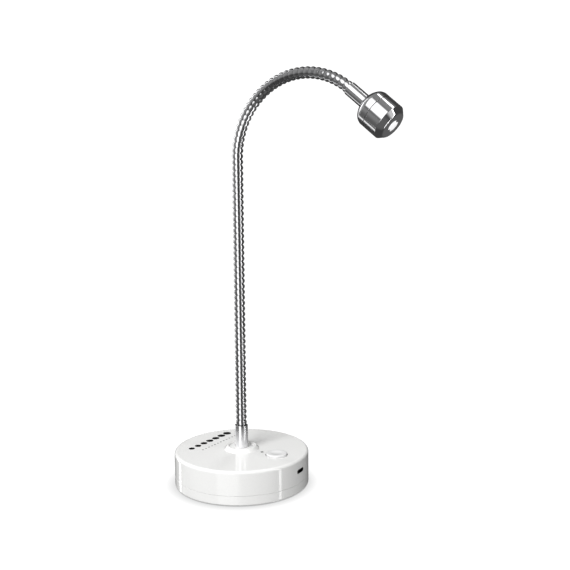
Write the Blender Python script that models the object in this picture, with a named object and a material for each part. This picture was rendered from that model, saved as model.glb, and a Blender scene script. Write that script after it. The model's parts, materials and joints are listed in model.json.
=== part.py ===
"""UV curing lamp: a round weighted base, a gooseneck and a small metal lamp head.

The origin is the centre of the resting face, +Z is up, and the neck bends towards +X. The button,
the indicator and the charging port are on the same side, turned a few degrees from the plane that
the neck bends in. Lengths below are in millimetres and the model is built in metres.
"""
import math

import bmesh
import bpy
from mathutils import Matrix

MM = 0.001
GAP = 0.3

# Base housing
BASE_RADIUS = 47.0
BASE_HEIGHT = 23.9
BASE_WALL = 2.0
BASE_ROOF = 2.2
RIM_FILLET = 2.0
FOOT_ROUND = 0.9
FOOT_HEIGHT = 0.5
SEAM_HEIGHT = 7.1
LIP_HEIGHT = 1.9
LIP_WALL = 1.6
FLOOR_THICKNESS = 1.7
PAD_RADIUS = 41.5
PAD_THICKNESS = 1.2
ROOF_UNDERSIDE = BASE_HEIGHT - BASE_ROOF
INNER_RADIUS = BASE_RADIUS - BASE_WALL
FLOOR_UNDERSIDE = PAD_THICKNESS + GAP
FLOOR_TOP = FLOOR_UNDERSIDE + FLOOR_THICKNESS

# Collar moulded around the neck, with a dish that the ferrule stands in
COLLAR_FOOT_RADIUS = 12.4
COLLAR_TOP_RADIUS = 10.2
COLLAR_HEIGHT = 2.7
COLLAR_MOUTH_RADIUS = 9.0
DISH_DEPTH = 1.3
DISH_FLOOR = BASE_HEIGHT + COLLAR_HEIGHT - DISH_DEPTH

# Cover screws and ballast
SCREW_CIRCLE = 38.8
SCREW_ANGLES = (60.0, 180.0, 300.0)
SCREW_SHANK = 1.3
SCREW_HEAD = 2.7
SCREW_TIP = 16.5
PILOT_TOP = SCREW_TIP + 1.0
COVER_BOSS = 4.9
COVER_LEDGE = 1.2
SHELL_BOSS = 3.4
BALLAST_RADIUS = 42.5
BALLAST_THICKNESS = 4.0
BALLAST_TOP = FLOOR_TOP + GAP + BALLAST_THICKNESS

# Controls and port. The base is modelled with them on +X, then turned about Z
CONTROLS_TURN = math.radians(4.5)
BUTTON_X = 28.1
BUTTON_RADIUS = 7.3
BUTTON_HOLE_RADIUS = 7.8
BUTTON_RISE = 1.3
BUTTON_DISH_RADIUS = 4.3
BUTTON_DISH_DEPTH = 0.6
BUTTON_TOP = BASE_HEIGHT + BUTTON_RISE
INDICATOR_X = 16.6
INDICATOR_RADIUS = 0.85
PORT_HEIGHT = 15.6
PORT_WIDTH = 9.2
PORT_TALL = 3.1
RECEPTACLE_WIDTH = 8.94
RECEPTACLE_TALL = 3.16
RECEPTACLE_BACK = 37.0
RECEPTACLE_MOUTH = 44.4

# Circuit board, switch and cell
BOARD_TOP = 13.7
BOARD_THICKNESS = 1.6
BOARD_X = (6.0, 41.0)
BOARD_HALF_WIDTH = 14.0
BOARD_SCREWS = ((10.0, 10.0), (36.0, -10.0))
BOARD_BOSS = 2.4
BOARD_SCREW_SHANK = 0.9
BOARD_SCREW_HOLE = BOARD_SCREW_SHANK + GAP
BOARD_SCREW_HEAD = 2.0
BOARD_SCREW_HEIGHT = 1.2
PART_BOTTOM = BOARD_TOP + GAP
SWITCH_TOP = 17.8
CELL_X = (-33.6, -5.6)
CELL_HALF_LENGTH = 20.0
CELL_THICKNESS = 7.5
TAPE_THICKNESS = 0.5
TAPE_INSET = 2.0
LEAD_RADIUS = 0.55

# Neck: an upright stretch, then an arc that turns the head down
HOSE_RADIUS = 3.5
HOSE_BORE = 2.4
NECK_START = 41.2
UPRIGHT_LENGTH = 184.8
ARC_RADIUS = 52.8
ARC_TURN = math.radians(128.6)
ARC_LENGTH = ARC_RADIUS * ARC_TURN
NECK_LENGTH = UPRIGHT_LENGTH + ARC_LENGTH
FIRST_PIVOT = 12.0
UPRIGHT_PIVOTS = 10
UPRIGHT_PITCH = 18.1
ARC_PIVOTS = 11
SOCKET_RADIUS = HOSE_RADIUS + GAP
HOSE_INSERTION = 8.0
HOSE_SIDES = 12
CABLE_RADIUS = 0.9
CABLE_GAP = 0.5
HEAD_CABLE_LENGTH = 28.9

# Ferrules and their threaded studs
LOWER_FERRULE_RADIUS = 4.5
UPPER_FERRULE_RADIUS = 4.4
FERRULE_SOCKET = 3.75
STUD_RADIUS = 3.0
STUD_BORE = 1.7
STUD_HOLE = 3.3
LOWER_STUD_END = 13.2
UPPER_STUD_END = 22.2
NUT_ACROSS_FLATS = 10.0

# Lamp head, measured along its own axis from the end of the hose
HEAD_RADIUS = 11.8
CAP_START = 14.4
SHOULDER_LENGTH = 6.5
SHOULDER_SWEEP = 6.6
CAP_FLOOR = 17.5
CAP_BORE = 8.9
CAP_BORE_START = 20.5
CAP_END = 24.1
SPIGOT_RADIUS = 10.4
SPIGOT_END = 28.0
THREAD_END = 31.2
BARREL_BORE = 8.6
BARREL_BORE_START = 32.2
FRONT_WALL_BACK = 35.4
BARREL_FRONT_EDGE = 34.15
HEAD_FRONT = 37.8
FRONT_FACE_RADIUS = 8.6
LENS_RADIUS = 3.8
LENS_RISE = 0.6
HEAT_SINK = (23.2, 28.3, 29.3)
LED_BOARD = (29.6, 31.0)
EMITTER_HEIGHTS = (31.3, 32.1, 32.7, 33.1)
SPACER = (31.3, 32.6)
LENS_FLANGE = (32.9, 34.1)
GASKET = (34.4, 35.1)
LINER_RADIUS = 8.2


def clear_scene():
    for old in list(bpy.data.objects):
        bpy.data.objects.remove(old)


def finish(name, colour, roughness, metallic=0.0, transmission=0.0):
    made = bpy.data.materials.new(name)
    made.use_nodes = True
    shader = made.node_tree.nodes["Principled BSDF"]
    shader.inputs["Base Color"].default_value = (*colour, 1.0)
    shader.inputs["Roughness"].default_value = roughness
    shader.inputs["Metallic"].default_value = metallic
    shader.inputs["Transmission Weight"].default_value = transmission
    return made


def joint_frame(name, location, turn=0.0, parent=None):
    """An empty on a joint's axis, which the moving pieces hang from."""
    empty = bpy.data.objects.new(name, None)
    empty.location = [value * MM for value in location]
    empty.rotation_euler = (0.0, turn, 0.0)
    empty.parent = parent
    bpy.context.collection.objects.link(empty)
    return empty


def place(name, bm, look, parent=None, location=(0.0, 0.0, 0.0), sharp=35.0):
    bmesh.ops.remove_doubles(bm, verts=bm.verts, dist=0.001 * MM)
    bmesh.ops.recalc_face_normals(bm, faces=bm.faces)
    mesh = bpy.data.meshes.new(name)
    bm.to_mesh(mesh)
    bm.free()
    mesh.shade_smooth()
    mesh.set_sharp_from_angle(angle=math.radians(sharp))
    made = bpy.data.objects.new(name, mesh)
    made.location = [value * MM for value in location]
    made.parent = parent
    bpy.context.collection.objects.link(made)
    if look:
        mesh.materials.append(look)
    else:
        made.hide_render = True
        made.display_type = "WIRE"
    return made


def turned(name, outline, look=None, steps=32, parent=None, location=(0.0, 0.0, 0.0)):
    """A solid of revolution about Z from an outline of (radius, height) points.

    An outline that starts and ends on the axis gives a solid, and any other is closed into a ring.
    """
    bm = bmesh.new()
    points = [bm.verts.new((radius * MM, 0.0, height * MM)) for radius, height in outline]
    on_axis = outline[0][0] == 0.0 and outline[-1][0] == 0.0
    last = len(points) - 1 if on_axis else len(points)
    edges = [bm.edges.new((points[i], points[(i + 1) % len(points)])) for i in range(last)]
    bmesh.ops.spin(bm, geom=points + edges, cent=(0, 0, 0), axis=(0, 0, 1),
                   angle=2.0 * math.pi, steps=steps, use_merge=True)
    return place(name, bm, look, parent, location)


def loft(name, rings, look=None, closed=False, parent=None, location=(0.0, 0.0, 0.0)):
    """A skin over rings of points, with its ends capped, or joined to each other if closed."""
    bm = bmesh.new()
    loops = [[bm.verts.new([value * MM for value in point]) for point in ring] for ring in rings]
    count = len(loops[0])
    spans = len(loops) if closed else len(loops) - 1
    for i in range(spans):
        first, second = loops[i], loops[(i + 1) % len(loops)]
        for j in range(count):
            k = (j + 1) % count
            bm.faces.new((first[j], first[k], second[k], second[j]))
    if not closed:
        bm.faces.new(loops[0])
        bm.faces.new(loops[-1])
    return place(name, bm, look, parent, location)


def circle(radius, steps, height):
    """Points round a circle about Z, starting half a step off the X axis."""
    angles = [2.0 * math.pi * (i + 0.5) / steps for i in range(steps)]
    return [(radius * math.cos(a), radius * math.sin(a), height) for a in angles]


def rod(name, radius, bottom, top, look=None, steps=24, location=(0.0, 0.0, 0.0)):
    rings = [circle(radius, steps, bottom), circle(radius, steps, top)]
    return loft(name, rings, look, location=location)


def arc_points(centre, radius, start, end, steps):
    """Points on an arc in an outline's plane, from one angle in degrees to the other."""
    angles = [math.radians(start + (end - start) * i / steps) for i in range(steps + 1)]
    return [(centre[0] + radius * math.cos(a), centre[1] + radius * math.sin(a)) for a in angles]


def rounded_rectangle(width, height, corner, steps=4):
    """Corner points of a rounded rectangle about the origin, anticlockwise."""
    across = width / 2 - corner
    up = height / 2 - corner
    points = []
    for quarter, (side, rise) in enumerate(((1, 1), (-1, 1), (-1, -1), (1, -1))):
        start = 90.0 * quarter
        points += arc_points((side * across, rise * up), corner, start, start + 90.0, steps)
    return points


def plate(name, x_range, y_range, z_range, corner, look):
    """A flat block with rounded upright corners."""
    outline = rounded_rectangle(x_range[1] - x_range[0], y_range[1] - y_range[0], corner)
    middle = ((x_range[0] + x_range[1]) / 2, (y_range[0] + y_range[1]) / 2)
    rings = [[(middle[0] + x, middle[1] + y, z) for x, y in outline] for z in z_range]
    return loft(name, rings, look)


def boolean(target, other, operation):
    cut = target.modifiers.new(operation.lower(), "BOOLEAN")
    cut.operation = operation
    cut.solver = "EXACT"
    cut.object = other


def screw_places():
    angles = [math.radians(angle) for angle in SCREW_ANGLES]
    return [(SCREW_CIRCLE * math.cos(a), SCREW_CIRCLE * math.sin(a), 0.0) for a in angles]


def hex_nut(name, bottom, top, look, parent=None):
    steps = 24
    angles = [2.0 * math.pi * i / steps for i in range(steps)]

    def flat_side(angle):
        from_middle = (angle + math.pi / 6) % (math.pi / 3) - math.pi / 6
        return NUT_ACROSS_FLATS / 2 / math.cos(from_middle)

    outer = [(flat_side(a) * math.cos(a), flat_side(a) * math.sin(a)) for a in angles]
    inner = [(STUD_HOLE * math.cos(a), STUD_HOLE * math.sin(a)) for a in angles]
    rings = [[(x, y, bottom) for x, y in outer], [(x, y, top) for x, y in outer],
             [(x, y, top) for x, y in inner], [(x, y, bottom) for x, y in inner]]
    return loft(name, rings, look, closed=True, parent=parent)


def screw(name, head_bottom, head_height, tip, head_radius, shank_radius, look, location):
    head_top = head_bottom + head_height
    outline = [(0, head_bottom), (head_radius, head_bottom), (head_radius, head_top),
               (shank_radius, head_top), (shank_radius, tip - shank_radius), (0, tip)]
    return turned(name, outline, look, 16, location=location)


# ---------------------------------------------------------------- base


def base_shell(look):
    rim = arc_points((BASE_RADIUS - RIM_FILLET, BASE_HEIGHT - RIM_FILLET), RIM_FILLET, 0, 90, 5)
    collar_top = BASE_HEIGHT + COLLAR_HEIGHT
    outline = [(INNER_RADIUS, SEAM_HEIGHT + GAP / 2), (BASE_RADIUS, SEAM_HEIGHT + GAP / 2), *rim,
               (COLLAR_FOOT_RADIUS, BASE_HEIGHT), (COLLAR_TOP_RADIUS, collar_top - 0.4),
               (COLLAR_TOP_RADIUS - 0.5, collar_top), (COLLAR_MOUTH_RADIUS + 0.3, collar_top),
               (COLLAR_MOUTH_RADIUS - 0.2, collar_top - 0.4), (COLLAR_MOUTH_RADIUS - 0.5, DISH_FLOOR),
               (STUD_HOLE, DISH_FLOOR), (STUD_HOLE, ROOF_UNDERSIDE),
               *arc_points((INNER_RADIUS - 1.5, ROOF_UNDERSIDE - 1.5), 1.5, 90, 0, 2)]
    shell = turned("base_shell", outline, look, 48)

    overlap = ROOF_UNDERSIDE + 1.0
    for number, spot in enumerate(screw_places(), 1):
        boss = rod(f"shell_boss_{number}", SHELL_BOSS, SEAM_HEIGHT + LIP_HEIGHT + GAP, overlap,
                   steps=16, location=spot)
        pilot = rod(f"shell_pilot_{number}", SCREW_SHANK + GAP, 0.0, PILOT_TOP, steps=16,
                    location=spot)
        boolean(shell, boss, "UNION")
        boolean(shell, pilot, "DIFFERENCE")
    for number, (x, y) in enumerate(BOARD_SCREWS, 1):
        boss = rod(f"board_boss_{number}", BOARD_BOSS, PART_BOTTOM, overlap, steps=12, location=(x, y, 0.0))
        pilot = rod(f"board_pilot_{number}", BOARD_SCREW_HOLE, BOARD_TOP - 1.0, PILOT_TOP, steps=12,
                    location=(x, y, 0.0))
        boolean(shell, boss, "UNION")
        boolean(shell, pilot, "DIFFERENCE")

    above = BASE_HEIGHT + 5.0
    below = ROOF_UNDERSIDE - 2.0
    boolean(shell, rod("button_hole", BUTTON_HOLE_RADIUS, below, above, steps=32,
                       location=(BUTTON_X, 0.0, 0.0)), "DIFFERENCE")
    boolean(shell, rod("indicator_hole", INDICATOR_RADIUS + GAP, below, above, steps=12,
                       location=(INDICATOR_X, 0.0, 0.0)), "DIFFERENCE")
    slot = rounded_rectangle(PORT_WIDTH, PORT_TALL, 1.5)
    rings = [[(x, y, PORT_HEIGHT + z) for y, z in slot] for x in (INNER_RADIUS - 3.0, BASE_RADIUS + 3.0)]
    boolean(shell, loft("port_cut", rings), "DIFFERENCE")


def bottom_cover(look):
    edge = SEAM_HEIGHT - GAP / 2
    lip_outer = INNER_RADIUS - GAP
    lip_inner = lip_outer - LIP_WALL
    foot = arc_points((BASE_RADIUS - FOOT_ROUND, FOOT_HEIGHT + FOOT_ROUND), FOOT_ROUND, -90, 0, 3)
    recess = PAD_RADIUS + 0.5
    outline = [(0, FLOOR_UNDERSIDE), (recess, FLOOR_UNDERSIDE), (recess, FOOT_HEIGHT), *foot,
               (BASE_RADIUS, edge), (lip_outer, edge), (lip_outer, SEAM_HEIGHT + LIP_HEIGHT),
               (lip_inner, SEAM_HEIGHT + LIP_HEIGHT), (lip_inner, FLOOR_TOP), (0, FLOOR_TOP)]
    cover = turned("bottom_cover", outline, look, 48)
    for number, spot in enumerate(screw_places(), 1):
        boss = rod(f"cover_boss_{number}", COVER_BOSS, FLOOR_TOP - 1.0, SEAM_HEIGHT + 1.6, steps=16,
                   location=spot)
        ledge = FLOOR_TOP + COVER_LEDGE
        rings = [circle(SCREW_HEAD + GAP, 16, 0.0), circle(SCREW_HEAD + GAP, 16, ledge),
                 circle(SCREW_SHANK + GAP, 16, ledge), circle(SCREW_SHANK + GAP, 16, SEAM_HEIGHT + 6)]
        hole = loft(f"cover_hole_{number}", rings, location=spot)
        boolean(cover, boss, "UNION")
        boolean(cover, hole, "DIFFERENCE")


def base_weight(steel, foam, rubber):
    rod("anti_slip_pad", PAD_RADIUS, 0.0, PAD_THICKNESS, rubber, 48)
    ballast = rod("ballast_plate", BALLAST_RADIUS, FLOOR_TOP + GAP, BALLAST_TOP, steel, 48)
    for number, spot in enumerate(screw_places(), 1):
        notch = rod(f"ballast_notch_{number}", COVER_BOSS + 0.6, 0.0, BALLAST_TOP + 2.0, steps=16,
                    location=spot)
        boolean(ballast, notch, "DIFFERENCE")
        screw(f"cover_screw_{number}", FLOOR_UNDERSIDE + 2 * GAP, 1.9, SCREW_TIP, SCREW_HEAD,
              SCREW_SHANK, steel, spot)
    half_length = CELL_HALF_LENGTH - TAPE_INSET
    plate("battery_tape", (CELL_X[0] + TAPE_INSET, CELL_X[1] - TAPE_INSET), (-half_length, half_length),
          (BALLAST_TOP + GAP, BALLAST_TOP + GAP + TAPE_THICKNESS), 1.0, foam)


def cell_and_leads(wrap, red, black):
    bottom = BALLAST_TOP + 2 * GAP + TAPE_THICKNESS
    plate("battery_cell", CELL_X, (-CELL_HALF_LENGTH, CELL_HALF_LENGTH),
          (bottom, bottom + CELL_THICKNESS), 2.0, wrap)
    bend = 1.2
    level = PART_BOTTOM + bend
    end_x = BOARD_X[0] + 2.0
    for name, y, look in (("positive", -8.0, red), ("negative", -10.5, black)):
        stations = [(CELL_X[1] + GAP, level, math.pi / 2), (end_x, level, math.pi / 2)]
        for i in range(1, 4):
            angle = math.pi / 6 * i
            stations.append((end_x + bend * math.sin(angle), level - bend * (1 - math.cos(angle)),
                             math.pi / 2 + angle))
        rings = [ring_across(x, z, heading, LEAD_RADIUS, 8, y) for x, z, heading in stations]
        loft(f"battery_lead_{name}", rings, look)


def circuit_board(board_look, chip_look, lamp_look, steel):
    board = plate("main_pcb", BOARD_X, (-BOARD_HALF_WIDTH, BOARD_HALF_WIDTH),
                  (BOARD_TOP - BOARD_THICKNESS, BOARD_TOP), 2.0, board_look)
    for number, (x, y) in enumerate(BOARD_SCREWS, 1):
        hole = rod(f"board_hole_{number}", BOARD_SCREW_HOLE, 0.0, BOARD_TOP + 1.0, steps=12,
                   location=(x, y, 0.0))
        boolean(board, hole, "DIFFERENCE")
        head_bottom = BOARD_TOP - BOARD_THICKNESS - GAP - BOARD_SCREW_HEIGHT
        screw(f"pcb_screw_{number}", head_bottom, BOARD_SCREW_HEIGHT, SCREW_TIP, BOARD_SCREW_HEAD,
              BOARD_SCREW_SHANK, steel, (x, y, 0.0))
    plate("charge_chip", (19.0, 24.0), (5.0, 9.0), (PART_BOTTOM, PART_BOTTOM + 1.5), 0.3, chip_look)
    plate("indicator_led", (INDICATOR_X - 1.0, INDICATOR_X + 1.0), (-0.6, 0.6),
          (PART_BOTTOM, PART_BOTTOM + 0.8), 0.2, lamp_look)


def light_pipe(look):
    flange_top = ROOF_UNDERSIDE - GAP
    flange_radius = INDICATOR_RADIUS + GAP + 0.6
    bottom = PART_BOTTOM + 1.6
    outline = [(0, bottom), (INDICATOR_RADIUS, bottom), (INDICATOR_RADIUS, flange_top - 0.9),
               (flange_radius, flange_top - 0.9), (flange_radius, flange_top),
               (INDICATOR_RADIUS, flange_top), (INDICATOR_RADIUS, BASE_HEIGHT - 0.1),
               (0, BASE_HEIGHT - 0.1)]
    turned("indicator_light_pipe", outline, look, 12, location=(INDICATOR_X, 0.0, 0.0))


def charging_port(steel, plastic):
    outer = rounded_rectangle(RECEPTACLE_WIDTH, RECEPTACLE_TALL, 1.5)
    inner = rounded_rectangle(RECEPTACLE_WIDTH - 0.6, RECEPTACLE_TALL - 0.6, 1.2)
    stations = ((outer, RECEPTACLE_BACK), (outer, RECEPTACLE_MOUTH), (inner, RECEPTACLE_MOUTH),
                (inner, RECEPTACLE_BACK + 0.4))
    loft("usb_c_shell", [[(x, y, PORT_HEIGHT + z) for y, z in ring] for ring, x in stations], steel)
    plate("usb_c_tongue", (RECEPTACLE_BACK + 0.4 + GAP, RECEPTACLE_MOUTH - 1.0), (-3.35, 3.35),
          (PORT_HEIGHT - 0.35, PORT_HEIGHT + 0.35), 0.3, plastic)


def push_button(cap_look, switch_look):
    """The button cap and the switch plunger, which travel together, over the fixed switch body."""
    plunger_radius = 1.75
    plunger_bottom = SWITCH_TOP - 1.2
    plunger_top = SWITCH_TOP + 1.7
    stem_bottom = plunger_top + GAP
    skirt_radius = BUTTON_RADIUS - 1.4
    flange_top = ROOF_UNDERSIDE - GAP
    flange_bottom = flange_top - 1.2
    ceiling = BUTTON_TOP - 2.4
    edge = 1.0
    dish = [(BUTTON_DISH_RADIUS * i / 4, BUTTON_TOP - BUTTON_DISH_DEPTH * (1 - (i / 4) ** 2))
            for i in range(4, -1, -1)]
    outline = [(0, stem_bottom), (1.6, stem_bottom), (1.6, ceiling), (skirt_radius, ceiling),
               (skirt_radius, flange_bottom), (BUTTON_RADIUS + 1.3, flange_bottom),
               (BUTTON_RADIUS + 1.3, flange_top), (BUTTON_RADIUS, flange_top),
               *arc_points((BUTTON_RADIUS - edge, BUTTON_TOP - edge), edge, 0, 90, 3), *dish]
    turned("button_cap", outline, cap_look, 32, location=(BUTTON_X, 0.0, 0.0))
    rod("switch_plunger", plunger_radius, plunger_bottom, plunger_top, switch_look, 16,
        location=(BUTTON_X, 0.0, 0.0))
    body = plate("tact_switch_body", (BUTTON_X - 3, BUTTON_X + 3), (-3.0, 3.0),
                 (PART_BOTTOM, SWITCH_TOP), 0.4, switch_look)
    well = rod("switch_well", plunger_radius + GAP, plunger_bottom - 0.6, SWITCH_TOP + 2.0, steps=16,
               location=(BUTTON_X, 0.0, 0.0))
    boolean(body, well, "DIFFERENCE")


def lower_ferrule(steel):
    shoulder = DISH_FLOOR + GAP
    outline = [(STUD_BORE, LOWER_STUD_END), (STUD_RADIUS, LOWER_STUD_END), (STUD_RADIUS, shoulder),
               (LOWER_FERRULE_RADIUS, shoulder), (LOWER_FERRULE_RADIUS, NECK_START - 0.2),
               (LOWER_FERRULE_RADIUS - 0.2, NECK_START), (FERRULE_SOCKET, NECK_START),
               (FERRULE_SOCKET, NECK_START - HOSE_INSERTION - GAP),
               (STUD_BORE, NECK_START - HOSE_INSERTION - GAP)]
    turned("lower_ferrule", outline, steel, 24)
    washer_top = ROOF_UNDERSIDE - GAP
    washer_bottom = washer_top - 0.8
    washer_radius = 6.5
    washer = [(STUD_HOLE, washer_bottom), (washer_radius, washer_bottom), (washer_radius, washer_top),
              (STUD_HOLE, washer_top)]
    turned("ferrule_washer", washer, steel, 24)
    nut_top = washer_bottom - GAP
    hex_nut("ferrule_lock_nut", nut_top - 4.0, nut_top, steel)


# ---------------------------------------------------------------- neck


def neck_station(along):
    """Place and heading of the hose's centre line, a distance along it from the lower ferrule.

    The heading is the angle from +Z towards +X. Past the arc the line runs straight on.
    """
    if along <= UPRIGHT_LENGTH:
        return 0.0, NECK_START + along, 0.0
    turn = min((along - UPRIGHT_LENGTH) / ARC_RADIUS, ARC_TURN)
    beyond = max(along - NECK_LENGTH, 0.0)
    x = ARC_RADIUS * (1.0 - math.cos(turn)) + beyond * math.sin(turn)
    z = NECK_START + UPRIGHT_LENGTH + ARC_RADIUS * math.sin(turn) + beyond * math.cos(turn)
    return x, z, turn


def pivot_places():
    """Distances along the hose at which one length pivots on the next."""
    upright = [FIRST_PIVOT + UPRIGHT_PITCH * i for i in range(UPRIGHT_PIVOTS)]
    arc = [UPRIGHT_LENGTH + ARC_LENGTH * (i + 0.5) / ARC_PIVOTS for i in range(ARC_PIVOTS)]
    return upright + arc


def ring_across(x, z, heading, radius, sides, y=0.0):
    """A circle of points across a path in the XZ plane."""
    points = []
    for i in range(sides):
        angle = 2.0 * math.pi * i / sides
        out = radius * math.cos(angle)
        points.append((x + out * math.cos(heading), y + radius * math.sin(angle),
                       z - out * math.sin(heading)))
    return points


def along_axis(along, offset):
    """A station moved straight along the hose's heading at that station."""
    x, z, heading = neck_station(along)
    return x + offset * math.sin(heading), z + offset * math.cos(heading), heading


def middle_stations(start, end):
    """Stations between two distances, close enough together to follow the arc."""
    spans = 1 if end <= UPRIGHT_LENGTH else math.ceil((end - max(start, UPRIGHT_LENGTH)) / 6.0)
    return [start + (end - start) * i / spans for i in range(spans + 1)]


def hose_length(name, start, end, look, cup=True, ball=True, parent=None, origin=(0.0, 0.0, 0.0)):
    """One length of hose: a cup that turns on the ball before it, a tube, and a ball at its end."""
    outer = []
    if cup:
        for radius in (HOSE_BORE, (HOSE_BORE + HOSE_RADIUS) / 2, HOSE_RADIUS):
            offset = math.sqrt(SOCKET_RADIUS ** 2 - radius ** 2)
            outer.append((*along_axis(start, offset), radius))
        body_start = start + SOCKET_RADIUS
    else:
        outer.append((*neck_station(start), HOSE_BORE))
        outer.append((*neck_station(start), HOSE_RADIUS))
        body_start = start
    body = middle_stations(body_start, end)
    outer += [(*neck_station(along), HOSE_RADIUS) for along in body[1:]]
    inner = [(*neck_station(along), HOSE_BORE) for along in body[1:-1]]
    tip = math.sqrt(HOSE_RADIUS ** 2 - HOSE_BORE ** 2) if ball else 0.0
    outer.append((*along_axis(end, tip), HOSE_BORE))
    rings = [ring_across(x, z, heading, radius, HOSE_SIDES)
             for x, z, heading, radius in outer + inner[::-1]]
    rings = [[(x - origin[0], y - origin[1], z - origin[2]) for x, y, z in ring] for ring in rings]
    loft(name, rings, look, closed=True, parent=parent)


def cable_run(name, stations, look, parent=None, origin=(0.0, 0.0, 0.0)):
    rings = [ring_across(x, z, heading, CABLE_RADIUS, 8) for x, z, heading in stations]
    rings = [[(x - origin[0], y - origin[1], z - origin[2]) for x, y, z in ring] for ring in rings]
    loft(name, rings, look, parent=parent)


def base_cable(look, first_pivot):
    """From under the circuit board, round a bend and up through the stud to the first pivot."""
    bend = 2.5
    level = BALLAST_TOP + 1.8
    stations = [(BOARD_X[0] + 8.0, level, -math.pi / 2)]
    for i in range(5):
        angle = math.pi / 8 * i
        stations.append((bend * (1 - math.sin(angle)), level + bend * (1 - math.cos(angle)),
                         -math.pi / 2 + angle))
    stations.append(neck_station(first_pivot - CABLE_GAP))
    cable_run("lamp_cable_base", stations, look)


def gooseneck(steel, cable):
    """The hose lengths, and the cable's two ends. Returns the empty on the last pivot."""
    pivots = pivot_places()
    hose_length("gooseneck_00", -HOSE_INSERTION, pivots[0], steel, cup=False)
    base_cable(cable, pivots[0])
    for number, (start, end) in enumerate(zip(pivots, pivots[1:]), 1):
        x, z, _ = neck_station(start)
        pivot = joint_frame(f"neck_pivot_{number:02d}", (x, 0.0, z))
        hose_length(f"gooseneck_{number:02d}", start, end, steel, parent=pivot, origin=(x, 0.0, z))
    last = pivots[-1]
    x, z, _ = neck_station(last)
    head_pivot = joint_frame(f"neck_pivot_{len(pivots):02d}", (x, 0.0, z))
    hose_length(f"gooseneck_{len(pivots):02d}", last, NECK_LENGTH + HOSE_INSERTION, steel,
                ball=False, parent=head_pivot, origin=(x, 0.0, z))
    stations = [last + CABLE_GAP, NECK_LENGTH, NECK_LENGTH + HEAD_CABLE_LENGTH]
    cable_run("lamp_cable_head", [neck_station(s) for s in stations], cable, head_pivot, (x, 0.0, z))
    return head_pivot


# ---------------------------------------------------------------- lamp head


def upper_ferrule(steel, axis):
    shoulder = CAP_START - GAP
    outline = [(FERRULE_SOCKET, 0), (UPPER_FERRULE_RADIUS - 0.2, 0), (UPPER_FERRULE_RADIUS, 0.2),
               (UPPER_FERRULE_RADIUS, shoulder), (STUD_RADIUS, shoulder), (STUD_RADIUS, UPPER_STUD_END),
               (STUD_BORE, UPPER_STUD_END), (STUD_BORE, HOSE_INSERTION + GAP),
               (FERRULE_SOCKET, HOSE_INSERTION + GAP)]
    turned("upper_ferrule", outline, steel, 24, axis)
    hex_nut("head_lock_nut", CAP_FLOOR + GAP, CAP_FLOOR + GAP + 3.0, steel, axis)


def head_casing(metal, axis):
    shoulder_end = CAP_START + SHOULDER_LENGTH
    steps = 7
    shoulder = []
    for i in range(steps + 1):
        behind = SHOULDER_LENGTH * (1 - i / steps)
        shoulder.append((HEAD_RADIUS - behind ** 2 / SHOULDER_SWEEP, shoulder_end - behind))
    cap = [(STUD_HOLE, CAP_START), *shoulder, (HEAD_RADIUS, CAP_END), (SPIGOT_RADIUS, CAP_END),
           (SPIGOT_RADIUS, SPIGOT_END), (CAP_BORE, SPIGOT_END), (CAP_BORE, CAP_BORE_START),
           (CAP_BORE - 2.5, CAP_FLOOR), (STUD_HOLE, CAP_FLOOR)]
    turned("head_rear_cap", cap, metal, 32, axis)

    thread_bore = SPIGOT_RADIUS + GAP
    opening = LENS_RADIUS + GAP
    barrel = [(thread_bore, CAP_END + GAP), (HEAD_RADIUS, CAP_END + GAP),
              (HEAD_RADIUS, BARREL_FRONT_EDGE), (FRONT_FACE_RADIUS, HEAD_FRONT),
              (opening, HEAD_FRONT), (opening, FRONT_WALL_BACK), (BARREL_BORE, FRONT_WALL_BACK),
              (BARREL_BORE, BARREL_BORE_START), (thread_bore, THREAD_END)]
    turned("head_barrel", barrel, metal, 32, axis)


def light_engine(aluminium, board_look, emitter_look, plastic, rubber, glass, axis):
    cable_hole = 1.8
    plug_radius = CAP_BORE - 0.4
    rim_radius = SPIGOT_RADIUS - 0.1
    start, step, end = HEAT_SINK
    heat_sink = [(cable_hole, start), (plug_radius, start), (plug_radius, step), (rim_radius, step),
                 (rim_radius, end), (cable_hole, end)]
    turned("heat_sink", heat_sink, aluminium, 24, axis)
    start, end = LED_BOARD
    turned("led_board", [(0, start), (LINER_RADIUS, start), (LINER_RADIUS, end), (0, end)],
           board_look, 24, axis)
    for name, inside, outside, (start, end), look in (
            ("lens_spacer", 6.6, LINER_RADIUS, SPACER, plastic),
            ("lens_gasket", 5.0, 7.8, GASKET, rubber)):
        ring = [(inside, start), (outside, start), (outside, end), (inside, end)]
        turned(name, ring, look, 24, axis)

    package = rounded_rectangle(3.5, 3.5, 0.3, 3)
    package_bottom, package_top, *dome_heights = EMITTER_HEIGHTS
    rings = [[(x, y, d) for x, y in package] for d in (package_bottom, package_top)]
    angles = [math.atan2(y, x) for x, y in package]
    for radius, height in zip((1.4, 1.2, 0.7), (package_top, *dome_heights)):
        rings.append([(radius * math.cos(a), radius * math.sin(a), height) for a in angles])
    loft("led_emitter", rings, emitter_look, parent=axis)

    edge = HEAD_FRONT + 0.1
    rise = HEAD_FRONT + LENS_RISE - edge
    dome = [(LENS_RADIUS * math.cos(a), edge + rise * math.sin(a))
            for a in [math.pi / 8 * i for i in range(4)]]
    bottom, top = LENS_FLANGE
    outline = [(0, bottom + 1.0), (1.6, bottom + 0.7), (2.6, bottom), (LINER_RADIUS, bottom),
               (LINER_RADIUS, top), (LENS_RADIUS, top), *dome, (0, HEAD_FRONT + LENS_RISE)]
    turned("lens", outline, glass, 24, axis)


def turn_base():
    """Turns everything made so far, cutters included, about the base's axis."""
    for piece in list(bpy.data.objects):
        piece.matrix_basis = Matrix.Rotation(CONTROLS_TURN, 4, "Z") @ piece.matrix_basis


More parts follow.
